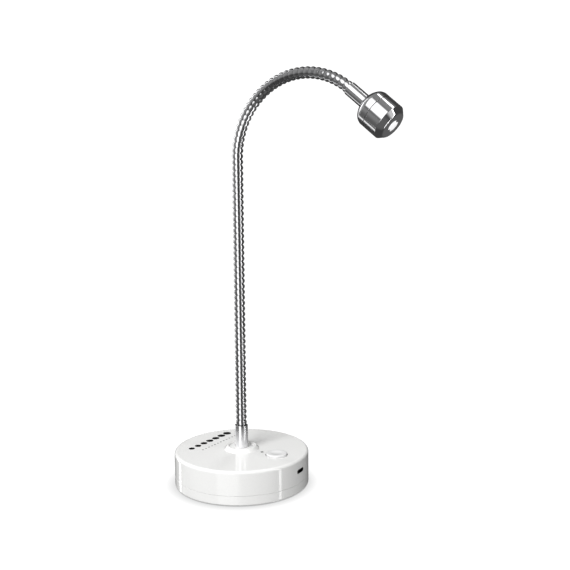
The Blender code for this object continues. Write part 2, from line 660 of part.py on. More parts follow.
def main():
    clear_scene()
    white = finish("white gloss plastic", (0.85, 0.85, 0.84), 0.15)
    steel = finish("polished steel", (0.72, 0.72, 0.73), 0.14, 1.0)
    chrome = finish("chromed metal", (0.78, 0.78, 0.79), 0.08, 1.0)
    aluminium = finish("bare aluminium", (0.65, 0.66, 0.67), 0.4, 1.0)
    rubber = finish("grey rubber", (0.12, 0.12, 0.12), 0.8)
    foam = finish("white foam tape", (0.8, 0.8, 0.78), 0.9)
    wrap = finish("cell wrap", (0.35, 0.38, 0.42), 0.4, 0.6)
    red = finish("red wire", (0.55, 0.03, 0.02), 0.45)
    black = finish("black plastic", (0.02, 0.02, 0.02), 0.45)
    board = finish("green circuit board", (0.02, 0.16, 0.07), 0.4)
    pale_board = finish("white circuit board", (0.8, 0.8, 0.8), 0.4)
    smoke = finish("smoked light pipe", (0.05, 0.05, 0.05), 0.2, 0.0, 0.4)
    phosphor = finish("led package", (0.85, 0.83, 0.7), 0.35)
    cable = finish("cable sheath", (0.04, 0.04, 0.04), 0.55)
    glass = finish("clear lens", (0.95, 0.95, 0.97), 0.03, 0.0, 0.9)

    base_shell(white)
    bottom_cover(white)
    base_weight(steel, foam, rubber)
    cell_and_leads(wrap, red, black)
    circuit_board(board, black, phosphor, steel)
    light_pipe(smoke)
    charging_port(steel, black)
    push_button(white, black)
    turn_base()
    lower_ferrule(chrome)
    head_pivot = gooseneck(steel, cable)

    pivot_x, pivot_z, _ = neck_station(pivot_places()[-1])
    end_x, end_z, heading = neck_station(NECK_LENGTH)
    head_axis = joint_frame("head_axis", (end_x - pivot_x, 0.0, end_z - pivot_z), heading, head_pivot)
    upper_ferrule(chrome, head_axis)
    head_casing(chrome, head_axis)
    light_engine(aluminium, pale_board, phosphor, black, rubber, glass, head_axis)


main()
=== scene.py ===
"""The looks of the UV curing lamp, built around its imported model.

Fine meshes stand for every part that shows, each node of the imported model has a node-based
material, and a plain studio lights them. Lengths named here are in millimetres and the scene is
in metres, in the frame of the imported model: +Z up, the neck bending towards +X.
"""

import json
import math

import bmesh
import bpy
from mathutils import Matrix, Vector


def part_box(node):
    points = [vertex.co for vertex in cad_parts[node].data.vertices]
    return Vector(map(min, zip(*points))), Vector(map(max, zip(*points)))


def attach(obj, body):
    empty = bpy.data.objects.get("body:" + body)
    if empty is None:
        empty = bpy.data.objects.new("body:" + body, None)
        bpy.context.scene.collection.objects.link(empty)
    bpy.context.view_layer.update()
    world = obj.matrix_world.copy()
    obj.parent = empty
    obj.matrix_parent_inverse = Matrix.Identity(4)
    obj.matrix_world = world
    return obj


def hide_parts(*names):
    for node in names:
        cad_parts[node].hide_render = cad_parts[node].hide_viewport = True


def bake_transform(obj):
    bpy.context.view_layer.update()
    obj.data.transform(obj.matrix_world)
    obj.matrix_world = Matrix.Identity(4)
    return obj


MM = 0.001
ROUND_STEPS = 192
SMALL_STEPS = 64
CAD_GAP = 0.3

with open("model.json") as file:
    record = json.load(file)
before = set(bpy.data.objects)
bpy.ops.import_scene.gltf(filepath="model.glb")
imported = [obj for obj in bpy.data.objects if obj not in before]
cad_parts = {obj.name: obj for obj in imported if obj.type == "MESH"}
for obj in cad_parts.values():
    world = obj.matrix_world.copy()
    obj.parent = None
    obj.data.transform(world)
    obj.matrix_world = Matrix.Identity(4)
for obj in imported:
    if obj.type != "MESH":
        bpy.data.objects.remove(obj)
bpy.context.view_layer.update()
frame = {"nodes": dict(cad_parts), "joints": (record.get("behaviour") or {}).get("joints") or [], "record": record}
slot_colours = {entry["slot"]: entry["base_color"][:3] for entry in frame["record"]["materials"]}


# ---------------------------------------------------------------- places taken from the frame


def low(node):
    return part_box(node)[0] / MM


def high(node):
    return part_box(node)[1] / MM


def middle(node):
    return (low(node) + high(node)) / 2


def span(node, at):
    """Low and high corners of a node in the frame of a matrix."""
    inverse = at.inverted()
    points = [inverse @ (v.co / MM) for v in frame["nodes"][node].data.vertices]
    return [Vector([pick(p[axis] for p in points) for axis in range(3)]) for pick in (min, max)]


def hinge_places(*groups):
    return [Vector(j["pos_m"]) / MM for j in frame["joints"] if j["name"].startswith(groups)]


BASE_RADIUS = high("base_shell").y
NECK_START = high("lower_ferrule").z
FOOT_HEIGHT = low("bottom_cover").z
SEAM_HEIGHT = low("base_shell").z - CAD_GAP / 2
BUTTON_PLACE = middle("button_cap").xy
BUTTON_TOP = high("button_cap").z
INDICATOR_PLACE = middle("indicator_light_pipe").xy
controls_turn = Matrix.Rotation(math.atan2(BUTTON_PLACE.y, BUTTON_PLACE.x), 4, "Z")
port_low, port_high = span("usb_c_shell", controls_turn)
LOWER_FERRULE_RADIUS = high("lower_ferrule").y

neck_pivots = hinge_places("neck_lean", "neck_side", "neck_curl")
curl_pivots = hinge_places("neck_curl")
first_chord = curl_pivots[1] - curl_pivots[0]
STEP_TURN = first_chord.angle(curl_pivots[2] - curl_pivots[1])
ARC_RADIUS = first_chord.length / 2 / math.sin(STEP_TURN / 2)
ARC_TURN = STEP_TURN * len(curl_pivots)
ARC_START = curl_pivots[0].z - ARC_RADIUS * math.sin(STEP_TURN / 2)
UPRIGHT_LENGTH = ARC_START - NECK_START
NECK_LENGTH = UPRIGHT_LENGTH + ARC_RADIUS * ARC_TURN


def neck_station(along):
    """Place and heading of the neck's centre line, a distance along it from the lower ferrule."""
    if along <= UPRIGHT_LENGTH:
        return Vector((0.0, 0.0, NECK_START + along)), 0.0
    turn = min((along - UPRIGHT_LENGTH) / ARC_RADIUS, ARC_TURN)
    beyond = max(along - NECK_LENGTH, 0.0)
    place = Vector((ARC_RADIUS * (1.0 - math.cos(turn)), 0.0,
                    ARC_START + ARC_RADIUS * math.sin(turn)))
    return place + Vector((math.sin(turn), 0.0, math.cos(turn))) * beyond, turn


def along_neck(place):
    """Distance along the centre line of a place on it."""
    if place.z <= ARC_START:
        return place.z - NECK_START
    turn = math.atan2(place.z - ARC_START, ARC_RADIUS - place.x)
    return UPRIGHT_LENGTH + ARC_RADIUS * turn


head_origin, HEAD_TURN = neck_station(NECK_LENGTH)
head_axis = Matrix.Translation(head_origin) @ Matrix.Rotation(HEAD_TURN, 4, "Y")

CAP_START = span("head_rear_cap", head_axis)[0].z
HEAD_RADIUS = span("head_rear_cap", head_axis)[1].x
BARREL_START = span("head_barrel", head_axis)[0].z
HEAD_FRONT = span("head_barrel", head_axis)[1].z
LENS_TOP = span("lens", head_axis)[1].z
UPPER_FERRULE_RADIUS = span("upper_ferrule", head_axis)[1].x


# ---------------------------------------------------------------- materials

NOISE_LOW = 0.3
NOISE_HIGH = 0.7
MOTTLE_RATIO = 4.0
# Painted reflection at the lower ferrule's foot: how far up it reaches, and the metallic value at the foot.
PAINTED_REFLECTION_REACH = 14.0
PAINTED_REFLECTION_METALLIC = 0.1
# Painted shade in the hose's grooves: how sharply it gathers at their bottoms and how dark it gets.
GROOVE_SHARPNESS = 10.0
GROOVE_PAINTED_SHADE = 0.3


def node_material(name, colour, roughness, metallic=0.0):
    """A new material, its node tree and its shader."""
    made = bpy.data.materials.new(name)
    made.use_nodes = True
    tree = made.node_tree
    shader = tree.nodes["Principled BSDF"]
    shader.inputs["Base Color"].default_value = (*colour, 1.0)
    shader.inputs["Roughness"].default_value = roughness
    shader.inputs["Metallic"].default_value = metallic
    return made, tree, shader


def noise(tree, size, detail=3.0, stretch=(1.0, 1.0, 1.0)):
    """Noise whose features measure about size, in millimetres, in the object's own frame."""
    place = tree.nodes.new("ShaderNodeTexCoord")
    scaled = tree.nodes.new("ShaderNodeMapping")
    scaled.inputs["Scale"].default_value = stretch
    texture = tree.nodes.new("ShaderNodeTexNoise")
    texture.inputs["Scale"].default_value = 1.0 / (size * MM)
    texture.inputs["Detail"].default_value = detail
    tree.links.new(place.outputs["Object"], scaled.inputs["Vector"])
    tree.links.new(scaled.outputs["Vector"], texture.inputs["Vector"])
    return texture.outputs["Fac"]


def spread(tree, value, start, end):
    """Maps a noise value's middle stretch onto a range."""
    mapped = tree.nodes.new("ShaderNodeMapRange")
    mapped.inputs["From Min"].default_value = NOISE_LOW
    mapped.inputs["From Max"].default_value = NOISE_HIGH
    mapped.inputs["To Min"].default_value = start
    mapped.inputs["To Max"].default_value = end
    tree.links.new(value, mapped.inputs["Value"])
    return mapped.outputs["Result"]


def vary_colour(tree, shader, value, first, second):
    mixed = tree.nodes.new("ShaderNodeMix")
    mixed.data_type = "RGBA"
    mixed.inputs["A"].default_value = (*first, 1.0)
    mixed.inputs["B"].default_value = (*second, 1.0)
    tree.links.new(spread(tree, value, 0.0, 1.0), mixed.inputs["Factor"])
    tree.links.new(mixed.outputs["Result"], shader.inputs["Base Color"])


def add_bump(tree, shader, value, height):
    bump = tree.nodes.new("ShaderNodeBump")
    bump.inputs["Distance"].default_value = height * MM
    bump.inputs["Strength"].default_value = 1.0
    tree.links.new(value, bump.inputs["Height"])
    tree.links.new(bump.outputs["Normal"], shader.inputs["Normal"])


def scaled_colour(colour, factor):
    return tuple(min(value * factor, 1.0) for value in colour)


def surface(name, colour, roughness, metallic=0.0, grain=2.0, colour_spread=0.04,
            roughness_spread=0.2, bump=0.0, stretch=(1.0, 1.0, 1.0), sheen=0.5):
    """A finish whose colour, roughness and relief vary with noise of one grain size."""
    made, tree, shader = node_material(name, colour, roughness, metallic)
    shader.inputs["Specular IOR Level"].default_value = sheen
    value = noise(tree, grain, stretch=stretch)
    vary_colour(tree, shader, value, scaled_colour(colour, 1.0 - colour_spread),
                scaled_colour(colour, 1.0 + colour_spread))
    mottled = noise(tree, grain * MOTTLE_RATIO)
    rough = spread(tree, mottled, roughness * (1.0 - roughness_spread),
                   roughness * (1.0 + roughness_spread))
    tree.links.new(rough, shader.inputs["Roughness"])
    if bump:
        add_bump(tree, shader, value, bump)
    return made


def gloss_plastic(name, colour):
    """Moulded gloss plastic with a faint orange peel."""
    return surface(name, colour, 0.03, grain=1.5, colour_spread=0.01, bump=0.0002)


def polished_metal(name, colour, roughness):
    """Polished metal with faint, fine-grained polishing marks."""
    return surface(name, colour, roughness, 1.0, grain=0.6, colour_spread=0.02,
                   roughness_spread=0.3)


def metal_with_painted_reflection(name, colour, bottom, top):
    """Polished metal that turns pale towards its foot: a painted reflection of the white housing there, made by
    lowering its metallic value.
    """
    made = polished_metal(name, colour, roughness=0.09)
    tree = made.node_tree
    place = tree.nodes.new("ShaderNodeTexCoord")
    split = tree.nodes.new("ShaderNodeSeparateXYZ")
    tree.links.new(place.outputs["Object"], split.inputs["Vector"])
    fade = tree.nodes.new("ShaderNodeMapRange")
    fade.inputs["From Min"].default_value = bottom * MM
    fade.inputs["From Max"].default_value = top * MM
    fade.inputs["To Min"].default_value = PAINTED_REFLECTION_METALLIC
    tree.links.new(split.outputs["Z"], fade.inputs["Value"])
    tree.links.new(fade.outputs["Result"], tree.nodes["Principled BSDF"].inputs["Metallic"])
    return made


def hose_metal():
    """Polished steel bands, with painted shade that darkens them down in the grooves between them."""
    clean = slot_colours["hose_steel"]
    made, tree, shader = node_material("hose_steel", clean, 0.12, 1.0)
    depth = tree.nodes.new("ShaderNodeAttribute")
    depth.attribute_name = "groove"
    sharper = tree.nodes.new("ShaderNodeMath")
    sharper.operation = "POWER"
    sharper.inputs[1].default_value = GROOVE_SHARPNESS
    tree.links.new(depth.outputs["Fac"], sharper.inputs[0])
    # Painted shade: the steel's colour darkens with the depth of the groove.
    mixed = tree.nodes.new("ShaderNodeMix")
    mixed.data_type = "RGBA"
    mixed.inputs["A"].default_value = (*clean, 1.0)
    mixed.inputs["B"].default_value = (*scaled_colour(clean, GROOVE_PAINTED_SHADE), 1.0)
    tree.links.new(sharper.outputs["Value"], mixed.inputs["Factor"])
    tree.links.new(mixed.outputs["Result"], shader.inputs["Base Color"])
    tree.links.new(spread(tree, noise(tree, 1.2), 0.06, 0.09), shader.inputs["Roughness"])
    return made


def lens_material():
    """Clear moulded lens with a painted white glow in its emission, so it reads as a bright milky disc."""
    made, tree, shader = node_material("lens_clear", (0.97, 0.97, 0.98), 0.05)
    # Painted glow: the lens emits white light of its own.
    shader.inputs["Emission Color"].default_value = (1.0, 1.0, 1.0, 1.0)
    shader.inputs["Emission Strength"].default_value = 0.55
    vary_colour(tree, shader, noise(tree, 0.8), (0.93, 0.93, 0.95), (0.99, 0.99, 1.0))
    return made


materials = {
    "gloss_white": gloss_plastic("gloss_white", slot_colours["gloss_white"]),
    "button_white": gloss_plastic("button_white", (0.82, 0.82, 0.82)),
    "chrome": polished_metal("chrome", slot_colours["chrome"], 0.10),
    # Painted reflection: the lower ferrule turns pale towards its foot, as if mirroring the white housing.
    "chrome_painted_reflection": metal_with_painted_reflection("chrome_painted_reflection", (0.86, 0.86, 0.87),
                                    NECK_START - PAINTED_REFLECTION_REACH, NECK_START),
    "head_metal": polished_metal("head_metal", slot_colours["head_metal"], 0.07),
    "hose_steel": hose_metal(),
    "lens_clear": lens_material(),
    "grey_rubber": surface("grey_rubber", slot_colours["grey_rubber"], 0.75, grain=0.5,
                           colour_spread=0.15, bump=0.03),
    "steel": surface("steel", slot_colours["steel"], 0.3, 1.0, grain=0.4, colour_spread=0.06,
                     stretch=(1.0, 1.0, 0.2)),
    # Painted shade: the charging port's steel is near-black, so its recess reads dark.
    "port_steel_painted_shade": surface("port_steel_painted_shade", (0.05, 0.05, 0.05), 0.3, 1.0, grain=0.4),
    "bare_aluminium": surface("bare_aluminium", slot_colours["bare_aluminium"], 0.4, 1.0,
                              grain=0.3),
    "board_green": surface("board_green", slot_colours["board_green"], 0.35, grain=3.0,
                           colour_spread=0.3, bump=0.01),
    "board_white": surface("board_white", slot_colours["board_white"], 0.35, bump=0.005),
    "black_plastic": surface("black_plastic", slot_colours["black_plastic"], 0.4, grain=0.3,
                             colour_spread=0.2, bump=0.005),
    "smoked_plastic": surface("smoked_plastic", (0.004, 0.004, 0.004), 0.3, grain=0.4,
                              sheen=0.02),
    "ink": surface("ink", (0.004, 0.004, 0.004), 0.4, grain=0.3, colour_spread=0.3, sheen=0.15),
    "led_package": surface("led_package", slot_colours["led_package"], 0.3, grain=0.3),
    "cell_wrap": surface("cell_wrap", slot_colours["cell_wrap"], 0.35, 0.6, grain=4.0, bump=0.03),
    "foam_tape": surface("foam_tape", slot_colours["foam_tape"], 0.9, grain=0.3, bump=0.08),
    "red_wire": surface("red_wire", slot_colours["red_wire"], 0.4, grain=0.5, colour_spread=0.1),
    "cable_sheath": surface("cable_sheath", slot_colours["cable_sheath"], 0.5, grain=0.4,
                            colour_spread=0.15, bump=0.01),
}

node_slots = {
    "steel": ("ballast_plate", "cover_screw_1", "cover_screw_2", "cover_screw_3",
              "ferrule_washer", "ferrule_lock_nut", "pcb_screw_1", "pcb_screw_2",
              "head_lock_nut"),
    "bare_aluminium": ("heat_sink",),
    "board_green": ("main_pcb",),
    "board_white": ("led_board",),
    "black_plastic": ("charge_chip", "tact_switch_body", "switch_plunger", "usb_c_tongue",
                      "lens_spacer"),
    "grey_rubber": ("lens_gasket",),
    "led_package": ("indicator_led", "led_emitter"),
    "cell_wrap": ("battery_cell",),
    "foam_tape": ("battery_tape",),
    "red_wire": ("battery_lead_positive",),
    "cable_sheath": ("battery_lead_negative", "lamp_cable_base", "lamp_cable_head"),
}


def dress_nodes():
    """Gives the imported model's own nodes that stay in the scene their materials."""
    for slot, names in node_slots.items():
        for name in names:
            mesh = frame["nodes"][name].data
            mesh.materials.clear()
            mesh.materials.append(materials[slot])


# ---------------------------------------------------------------- mesh helpers

CORNER_SHARE = 0.49
CUT_REACH = 3.0
CUT_ABOVE = 5.0
CUT_BELOW = 2.0


def add_piece(name, bm, slot, body=None, stands_for=(), sharp=32.0, at=Matrix.Identity(4),
              finish=None):
    """Turns a bmesh in millimetres into a smooth-shaded piece that rides on a body."""
    bmesh.ops.remove_doubles(bm, verts=bm.verts, dist=0.0005)
    bmesh.ops.recalc_face_normals(bm, faces=bm.faces)
    mesh = bpy.data.meshes.new(name)
    bm.to_mesh(mesh)
    bm.free()
    mesh.transform(Matrix.Scale(MM, 4) @ at)
    mesh.shade_smooth()
    mesh.set_sharp_from_angle(angle=math.radians(sharp))
    made = bpy.data.objects.new(name, mesh)
    bpy.context.collection.objects.link(made)
    mesh.materials.append(materials[finish or slot])
    if body:
        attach(made, body)
    if stands_for:
        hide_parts(*stands_for)
    return made


def even_normals(piece):
    """Keeps flat faces flat where they meet rounded edges."""
    weighted = piece.modifiers.new("even normals", "WEIGHTED_NORMAL")
    weighted.keep_sharp = True
    weighted.weight = 100


def rounded(outline, closed=True, steps=6):
    """Points of an outline with its corners rounded.

    Each entry is (radius, height) or (radius, height, size of that corner's rounding)."""
    points = []
    count = len(outline)
    for i, (x, y, *corner) in enumerate(outline):
        size = corner[0] if corner else 0.0
        ends = not closed and i in (0, count - 1)
        if size == 0.0 or ends:
            points.append((x, y))
            continue
        here = Vector((x, y))
        before = Vector(outline[i - 1][:2]) - here
        after = Vector(outline[(i + 1) % count][:2]) - here
        opening = before.angle(after)
        reach = min(size / math.tan(opening / 2), before.length * CORNER_SHARE,
                    after.length * CORNER_SHARE)
        radius = reach * math.tan(opening / 2)
        centre = here + (before.normalized() + after.normalized()).normalized() * (
            radius / math.sin(opening / 2))
        start = here + before.normalized() * reach - centre
        end = here + after.normalized() * reach - centre
        sweep = start.angle_signed(end)
        for step in range(steps + 1):
            turned = start.copy()
            turned.rotate(Matrix.Rotation(-sweep * step / steps, 2))
            points.append(tuple(centre + turned))
    return points


def skin(bm, rings, closed_rings=False):
    """Faces between rings of vertices. A ring of one vertex is a pole."""
    pairs = list(zip(rings, rings[1:]))
    if closed_rings:
        pairs.append((rings[-1], rings[0]))
    for first, second in pairs:
        count = max(len(first), len(second))
        for j in range(count):
            k = (j + 1) % count
            if len(first) == 1:
                bm.faces.new((first[0], second[k], second[j]))
            elif len(second) == 1:
                bm.faces.new((first[j], first[k], second[0]))
            else:
                bm.faces.new((first[j], first[k], second[k], second[j]))


def turned(outline, steps=ROUND_STEPS, centre=(0.0, 0.0)):
    """A solid of revolution about an upright axis. A radius may be a function of the angle."""
    bm = bmesh.new()
    rings = []
    for radius, height in outline:
        if radius == 0.0:
            rings.append([bm.verts.new((*centre, height))])
            continue
        ring = []
        for i in range(steps):
            angle = 2.0 * math.pi * i / steps
            out = radius(angle) if callable(radius) else radius
            ring.append(bm.verts.new((centre[0] + out * math.cos(angle),
                                      centre[1] + out * math.sin(angle), height)))
        rings.append(ring)
    on_axis = len(rings[0]) == 1 and len(rings[-1]) == 1
    skin(bm, rings, closed_rings=not on_axis)
    return bm


def cut(piece, cutter_bm, name):
    """Cuts a closed shape out of a piece and applies the cut."""
    bmesh.ops.recalc_face_normals(cutter_bm, faces=cutter_bm.faces)
    mesh = bpy.data.meshes.new(name)
    cutter_bm.to_mesh(mesh)
    cutter_bm.free()
    mesh.transform(Matrix.Scale(MM, 4))
    cutter = bpy.data.objects.new(name, mesh)
    bpy.context.collection.objects.link(cutter)
    boolean = piece.modifiers.new(name, "BOOLEAN")
    boolean.operation = "DIFFERENCE"
    boolean.solver = "EXACT"
    boolean.object = cutter
    bpy.context.view_layer.update()
    evaluated = piece.evaluated_get(bpy.context.evaluated_depsgraph_get())
    result = bpy.data.meshes.new_from_object(evaluated)
    piece.modifiers.remove(boolean)
    old = piece.data
    piece.data = result
    bpy.data.meshes.remove(old)
    bpy.data.objects.remove(cutter)
    bpy.data.meshes.remove(mesh)


def rounded_slot(width, tall, corner, steps=8):
    """Points of a rounded rectangle about the origin, anticlockwise."""
    half = (width / 2, tall / 2)
    corners = [(half[0], half[1], corner), (-half[0], half[1], corner),
               (-half[0], -half[1], corner), (half[0], -half[1], corner)]
    return rounded(corners, steps=steps)


def slot_rings(bm, stations):
    """Rings round the charging port, each from (points of (y, z), x)."""
    height = (port_low.z + port_high.z) / 2
    return [[bm.verts.new((x, y, height + z)) for y, z in points] for points, x in stations]


# ---------------------------------------------------------------- base

RIM_FILLET = 2.0
WALL = 2.0
ROOF = 2.2
SEAM_GAP = 0.14
SEAM_EDGE = 0.06
COLLAR_HEIGHT = 2.7
COLLAR_FOOT_RADIUS = 12.3
COLLAR_RIM_OUTER = 10.3
COLLAR_RIM_INNER = 9.0
COLLAR_WELL_RADIUS = 8.5
COLLAR_WELL_DEPTH = 1.3
NECK_HOLE_RADIUS = 3.3
BASE_TOP = high("base_shell").z - COLLAR_HEIGHT
COLLAR_FLOOR = BASE_TOP + COLLAR_HEIGHT - COLLAR_WELL_DEPTH

LIP_THICKNESS = 1.6
LIP_HEIGHT = 1.9
COVER_FLOOR = 3.2
PAD_RECESS_RADIUS = 42.0
PAD_RECESS_TOP = 1.5
PAD_THICKNESS = 1.2

BUTTON_HOLE_RADIUS = 7.75
BUTTON_RADIUS = 7.3
BUTTON_TOP_THICKNESS = 2.4
BUTTON_BORE_RADIUS = 5.9
BUTTON_STEM_RADIUS = 1.6
BUTTON_FLANGE_RADIUS = 8.6
BUTTON_FLANGE_THICKNESS = 1.2
BUTTON_STEPS = 128
DISH_RADIUS = 4.4
DISH_DEPTH = 0.45
DISH_STEPS = 10

INDICATOR_HOLE_RADIUS = 1.15
PIPE_RADIUS = 1.1
PIPE_STEM_RADIUS = 0.85
PIPE_FLANGE_RADIUS = 1.75
PIPE_FLANGE_THICKNESS = 0.9
PIPE_SET_BACK = 0.05
PIPE_STEPS = 48
HOLE_STEPS = 96

PORT_WIDTH = 9.2
PORT_TALL = 3.1
PORT_CORNER = 1.5
PORT_PLAY = 0.05
PORT_SET_BACK = 0.5
PORT_WALL = 0.3
PORT_BACK_WALL = 0.4
PORT_INNER_CORNER = 1.2

SOCKET_RADIUS = 3.9
SOCKET_DEPTH = 8.3
CABLE_BORE_RADIUS = 1.7
THREAD_RADIUS = 3.0
LOWER_THREAD_END = 13.2
UPPER_THREAD_END = 22.2
FERRULE_PLAY = 0.05


def base_shell():
    under_roof = BASE_TOP - ROOF
    inner = BASE_RADIUS - WALL
    seam = SEAM_HEIGHT + SEAM_GAP / 2
    collar_top = BASE_TOP + COLLAR_HEIGHT
    outline = rounded([
        (inner, seam), (BASE_RADIUS, seam, SEAM_EDGE), (BASE_RADIUS, BASE_TOP, RIM_FILLET),
        (COLLAR_FOOT_RADIUS, BASE_TOP, 0.35), (COLLAR_RIM_OUTER, collar_top, 0.6),
        (COLLAR_RIM_INNER, collar_top, 0.35), (COLLAR_WELL_RADIUS, COLLAR_FLOOR, 0.5),
        (NECK_HOLE_RADIUS, COLLAR_FLOOR), (NECK_HOLE_RADIUS, under_roof), (inner, under_roof, 1.5)])
    piece = add_piece("base_shell_fine", turned(outline), "gloss_white", "base", ("base_shell",))
    hole_top = BASE_TOP + CUT_ABOVE
    hole_bottom = under_roof - CUT_BELOW
    for name, radius, spot in (("button_hole", BUTTON_HOLE_RADIUS, BUTTON_PLACE),
                               ("indicator_hole", INDICATOR_HOLE_RADIUS, INDICATOR_PLACE)):
        hole = turned([(0.0, hole_bottom), (radius, hole_bottom), (radius, hole_top),
                       (0.0, hole_top)], HOLE_STEPS, spot)
        cut(piece, hole, name)
    bm = bmesh.new()
    opening = rounded_slot(PORT_WIDTH, PORT_TALL, PORT_CORNER)
    rings = slot_rings(bm, ((opening, inner - CUT_REACH), (opening, BASE_RADIUS + CUT_REACH)))
    skin(bm, rings)
    bm.faces.new(rings[0])
    bm.faces.new(rings[1])
    bm.transform(controls_turn)
    cut(piece, bm, "port_opening")
    even_normals(piece)
    piece.visible_glossy = False


def bottom_cover():
    lip_outer = BASE_RADIUS - WALL - CAD_GAP
    lip_inner = lip_outer - LIP_THICKNESS
    lip_top = SEAM_HEIGHT + LIP_HEIGHT
    seam = SEAM_HEIGHT - SEAM_GAP / 2
    outline = rounded([
        (0.0, PAD_RECESS_TOP), (PAD_RECESS_RADIUS, PAD_RECESS_TOP),
        (PAD_RECESS_RADIUS, FOOT_HEIGHT), (BASE_RADIUS, FOOT_HEIGHT, 0.9),
        (BASE_RADIUS, seam, SEAM_EDGE), (lip_outer, seam), (lip_outer, lip_top, 0.3),
        (lip_inner, lip_top, 0.3), (lip_inner, COVER_FLOOR), (0.0, COVER_FLOOR)], closed=False)
    piece = add_piece("bottom_cover_fine", turned(outline), "gloss_white", "base",
                      ("bottom_cover",))
    even_normals(piece)


def anti_slip_pad():
    radius = high("anti_slip_pad").x
    outline = rounded([(0.0, 0.0), (radius, 0.0, 0.3), (radius, PAD_THICKNESS, 0.3),
                       (0.0, PAD_THICKNESS)], closed=False)
    piece = add_piece("anti_slip_pad_fine", turned(outline), "grey_rubber", "base",
                      ("anti_slip_pad",))
    even_normals(piece)


def push_button():
    """Cap with a finger dish, on its flange and stem."""
    flange_top = BASE_TOP - ROOF - CAD_GAP
    flange_bottom = flange_top - BUTTON_FLANGE_THICKNESS
    ceiling = BUTTON_TOP - BUTTON_TOP_THICKNESS
    bottom = low("button_cap").z
    dish = [(DISH_RADIUS * i / DISH_STEPS, BUTTON_TOP - DISH_DEPTH * (1 - (i / DISH_STEPS) ** 2))
            for i in range(DISH_STEPS, -1, -1)]
    outline = rounded([
        (0.0, bottom), (BUTTON_STEM_RADIUS, bottom), (BUTTON_STEM_RADIUS, ceiling),
        (BUTTON_BORE_RADIUS, ceiling), (BUTTON_BORE_RADIUS, flange_bottom),
        (BUTTON_FLANGE_RADIUS, flange_bottom), (BUTTON_FLANGE_RADIUS, flange_top),
        (BUTTON_RADIUS, flange_top), (BUTTON_RADIUS, BUTTON_TOP, 1.0), dish[0]], closed=False)
    outline += dish[1:]
    bm = turned(outline, BUTTON_STEPS, BUTTON_PLACE)
    piece = add_piece("button_cap_fine", bm, "gloss_white", "button", ("button_cap",),
                      finish="button_white")
    even_normals(piece)


def light_pipe():
    bottom = low("indicator_light_pipe").z
    top = BASE_TOP - PIPE_SET_BACK
    flange_top = BASE_TOP - ROOF - CAD_GAP
    flange_bottom = flange_top - PIPE_FLANGE_THICKNESS
    outline = rounded([
        (0.0, bottom), (PIPE_STEM_RADIUS, bottom), (PIPE_STEM_RADIUS, flange_bottom),
        (PIPE_FLANGE_RADIUS, flange_bottom), (PIPE_FLANGE_RADIUS, flange_top),
        (PIPE_RADIUS, flange_top), (PIPE_RADIUS, top, 0.2), (0.0, top)], closed=False)
    add_piece("indicator_light_pipe_fine", turned(outline, PIPE_STEPS, INDICATOR_PLACE),
              "smoked_plastic", "base", ("indicator_light_pipe",))


def charging_port():
    size = port_high - port_low
    width = min(size.y, PORT_WIDTH - PORT_PLAY)
    tall = min(size.z, PORT_TALL - PORT_PLAY)
    outer = rounded_slot(width, tall, PORT_CORNER)
    inner = rounded_slot(width - 2 * PORT_WALL, tall - 2 * PORT_WALL, PORT_INNER_CORNER)
    mouth = BASE_RADIUS - PORT_SET_BACK
    bm = bmesh.new()
    rings = slot_rings(bm, ((outer, port_low.x), (outer, mouth), (inner, mouth),
                            (inner, port_low.x + PORT_BACK_WALL)))
    skin(bm, rings)
    bm.faces.new(rings[0])
    bm.faces.new(rings[-1])
    # Its near-black finish is painted shade for the port's recess.
    piece = add_piece("usb_c_shell_fine", bm, "steel", "base", ("usb_c_shell",),
                      at=controls_turn, finish="port_steel_painted_shade")
    even_normals(piece)


def ferrule(name, outline, body, node, finish, at=Matrix.Identity(4)):
    bm = turned(rounded(outline), SMALL_STEPS)
    piece = add_piece(name, bm, "chrome", body, (node,), at=at, finish=finish)
    even_normals(piece)


def lower_ferrule():
    seat = COLLAR_FLOOR + FERRULE_PLAY
    socket_floor = NECK_START - SOCKET_DEPTH
    outline = [(CABLE_BORE_RADIUS, LOWER_THREAD_END), (THREAD_RADIUS, LOWER_THREAD_END),
               (THREAD_RADIUS, seat), (LOWER_FERRULE_RADIUS, seat, 0.1),
               (LOWER_FERRULE_RADIUS, NECK_START, 0.25), (SOCKET_RADIUS, NECK_START, 0.1),
               (SOCKET_RADIUS, socket_floor), (CABLE_BORE_RADIUS, socket_floor)]
    ferrule("lower_ferrule_fine", outline, "base", "lower_ferrule", "chrome_painted_reflection")


# ---------------------------------------------------------------- neck

BAND_PITCH = 3.84
CROWN_RADIUS = 3.85
GROOVE_DEPTH = 1.0
BAND_POWER = 2.0
BAND_STEPS = 6
SHADED_SLOPE = 0.11
HOSE_STEPS = 48
HOSE_BORE = 2.4
BORE_STEP = 3.0
END_MARGIN = 0.01
SLOPE_REACH = 0.05
SKIN_ABOVE_BORE = 0.1
END_FACE_FACING = 0.8
INSIDE_FERRULE = 6.0


def band_ring(along):
    """(distance, radius, groove depth from 0 to 1) at a distance along the hose."""
    depth = abs(2.0 * (along / BAND_PITCH % 1.0) - 1.0)
    return along, CROWN_RADIUS - GROOVE_DEPTH * depth ** BAND_POWER, depth


def band_stations(start, end):
    """Rings of a stretch of hose, at its ends and at even steps of the bands in between."""
    step = BAND_PITCH / BAND_STEPS
    numbers = range(math.floor(start / step) + 1, math.ceil(end / step))
    inside = [number * step for number in numbers
              if start + END_MARGIN < number * step < end - END_MARGIN]
    return [band_ring(along) for along in (start, *inside, end)]


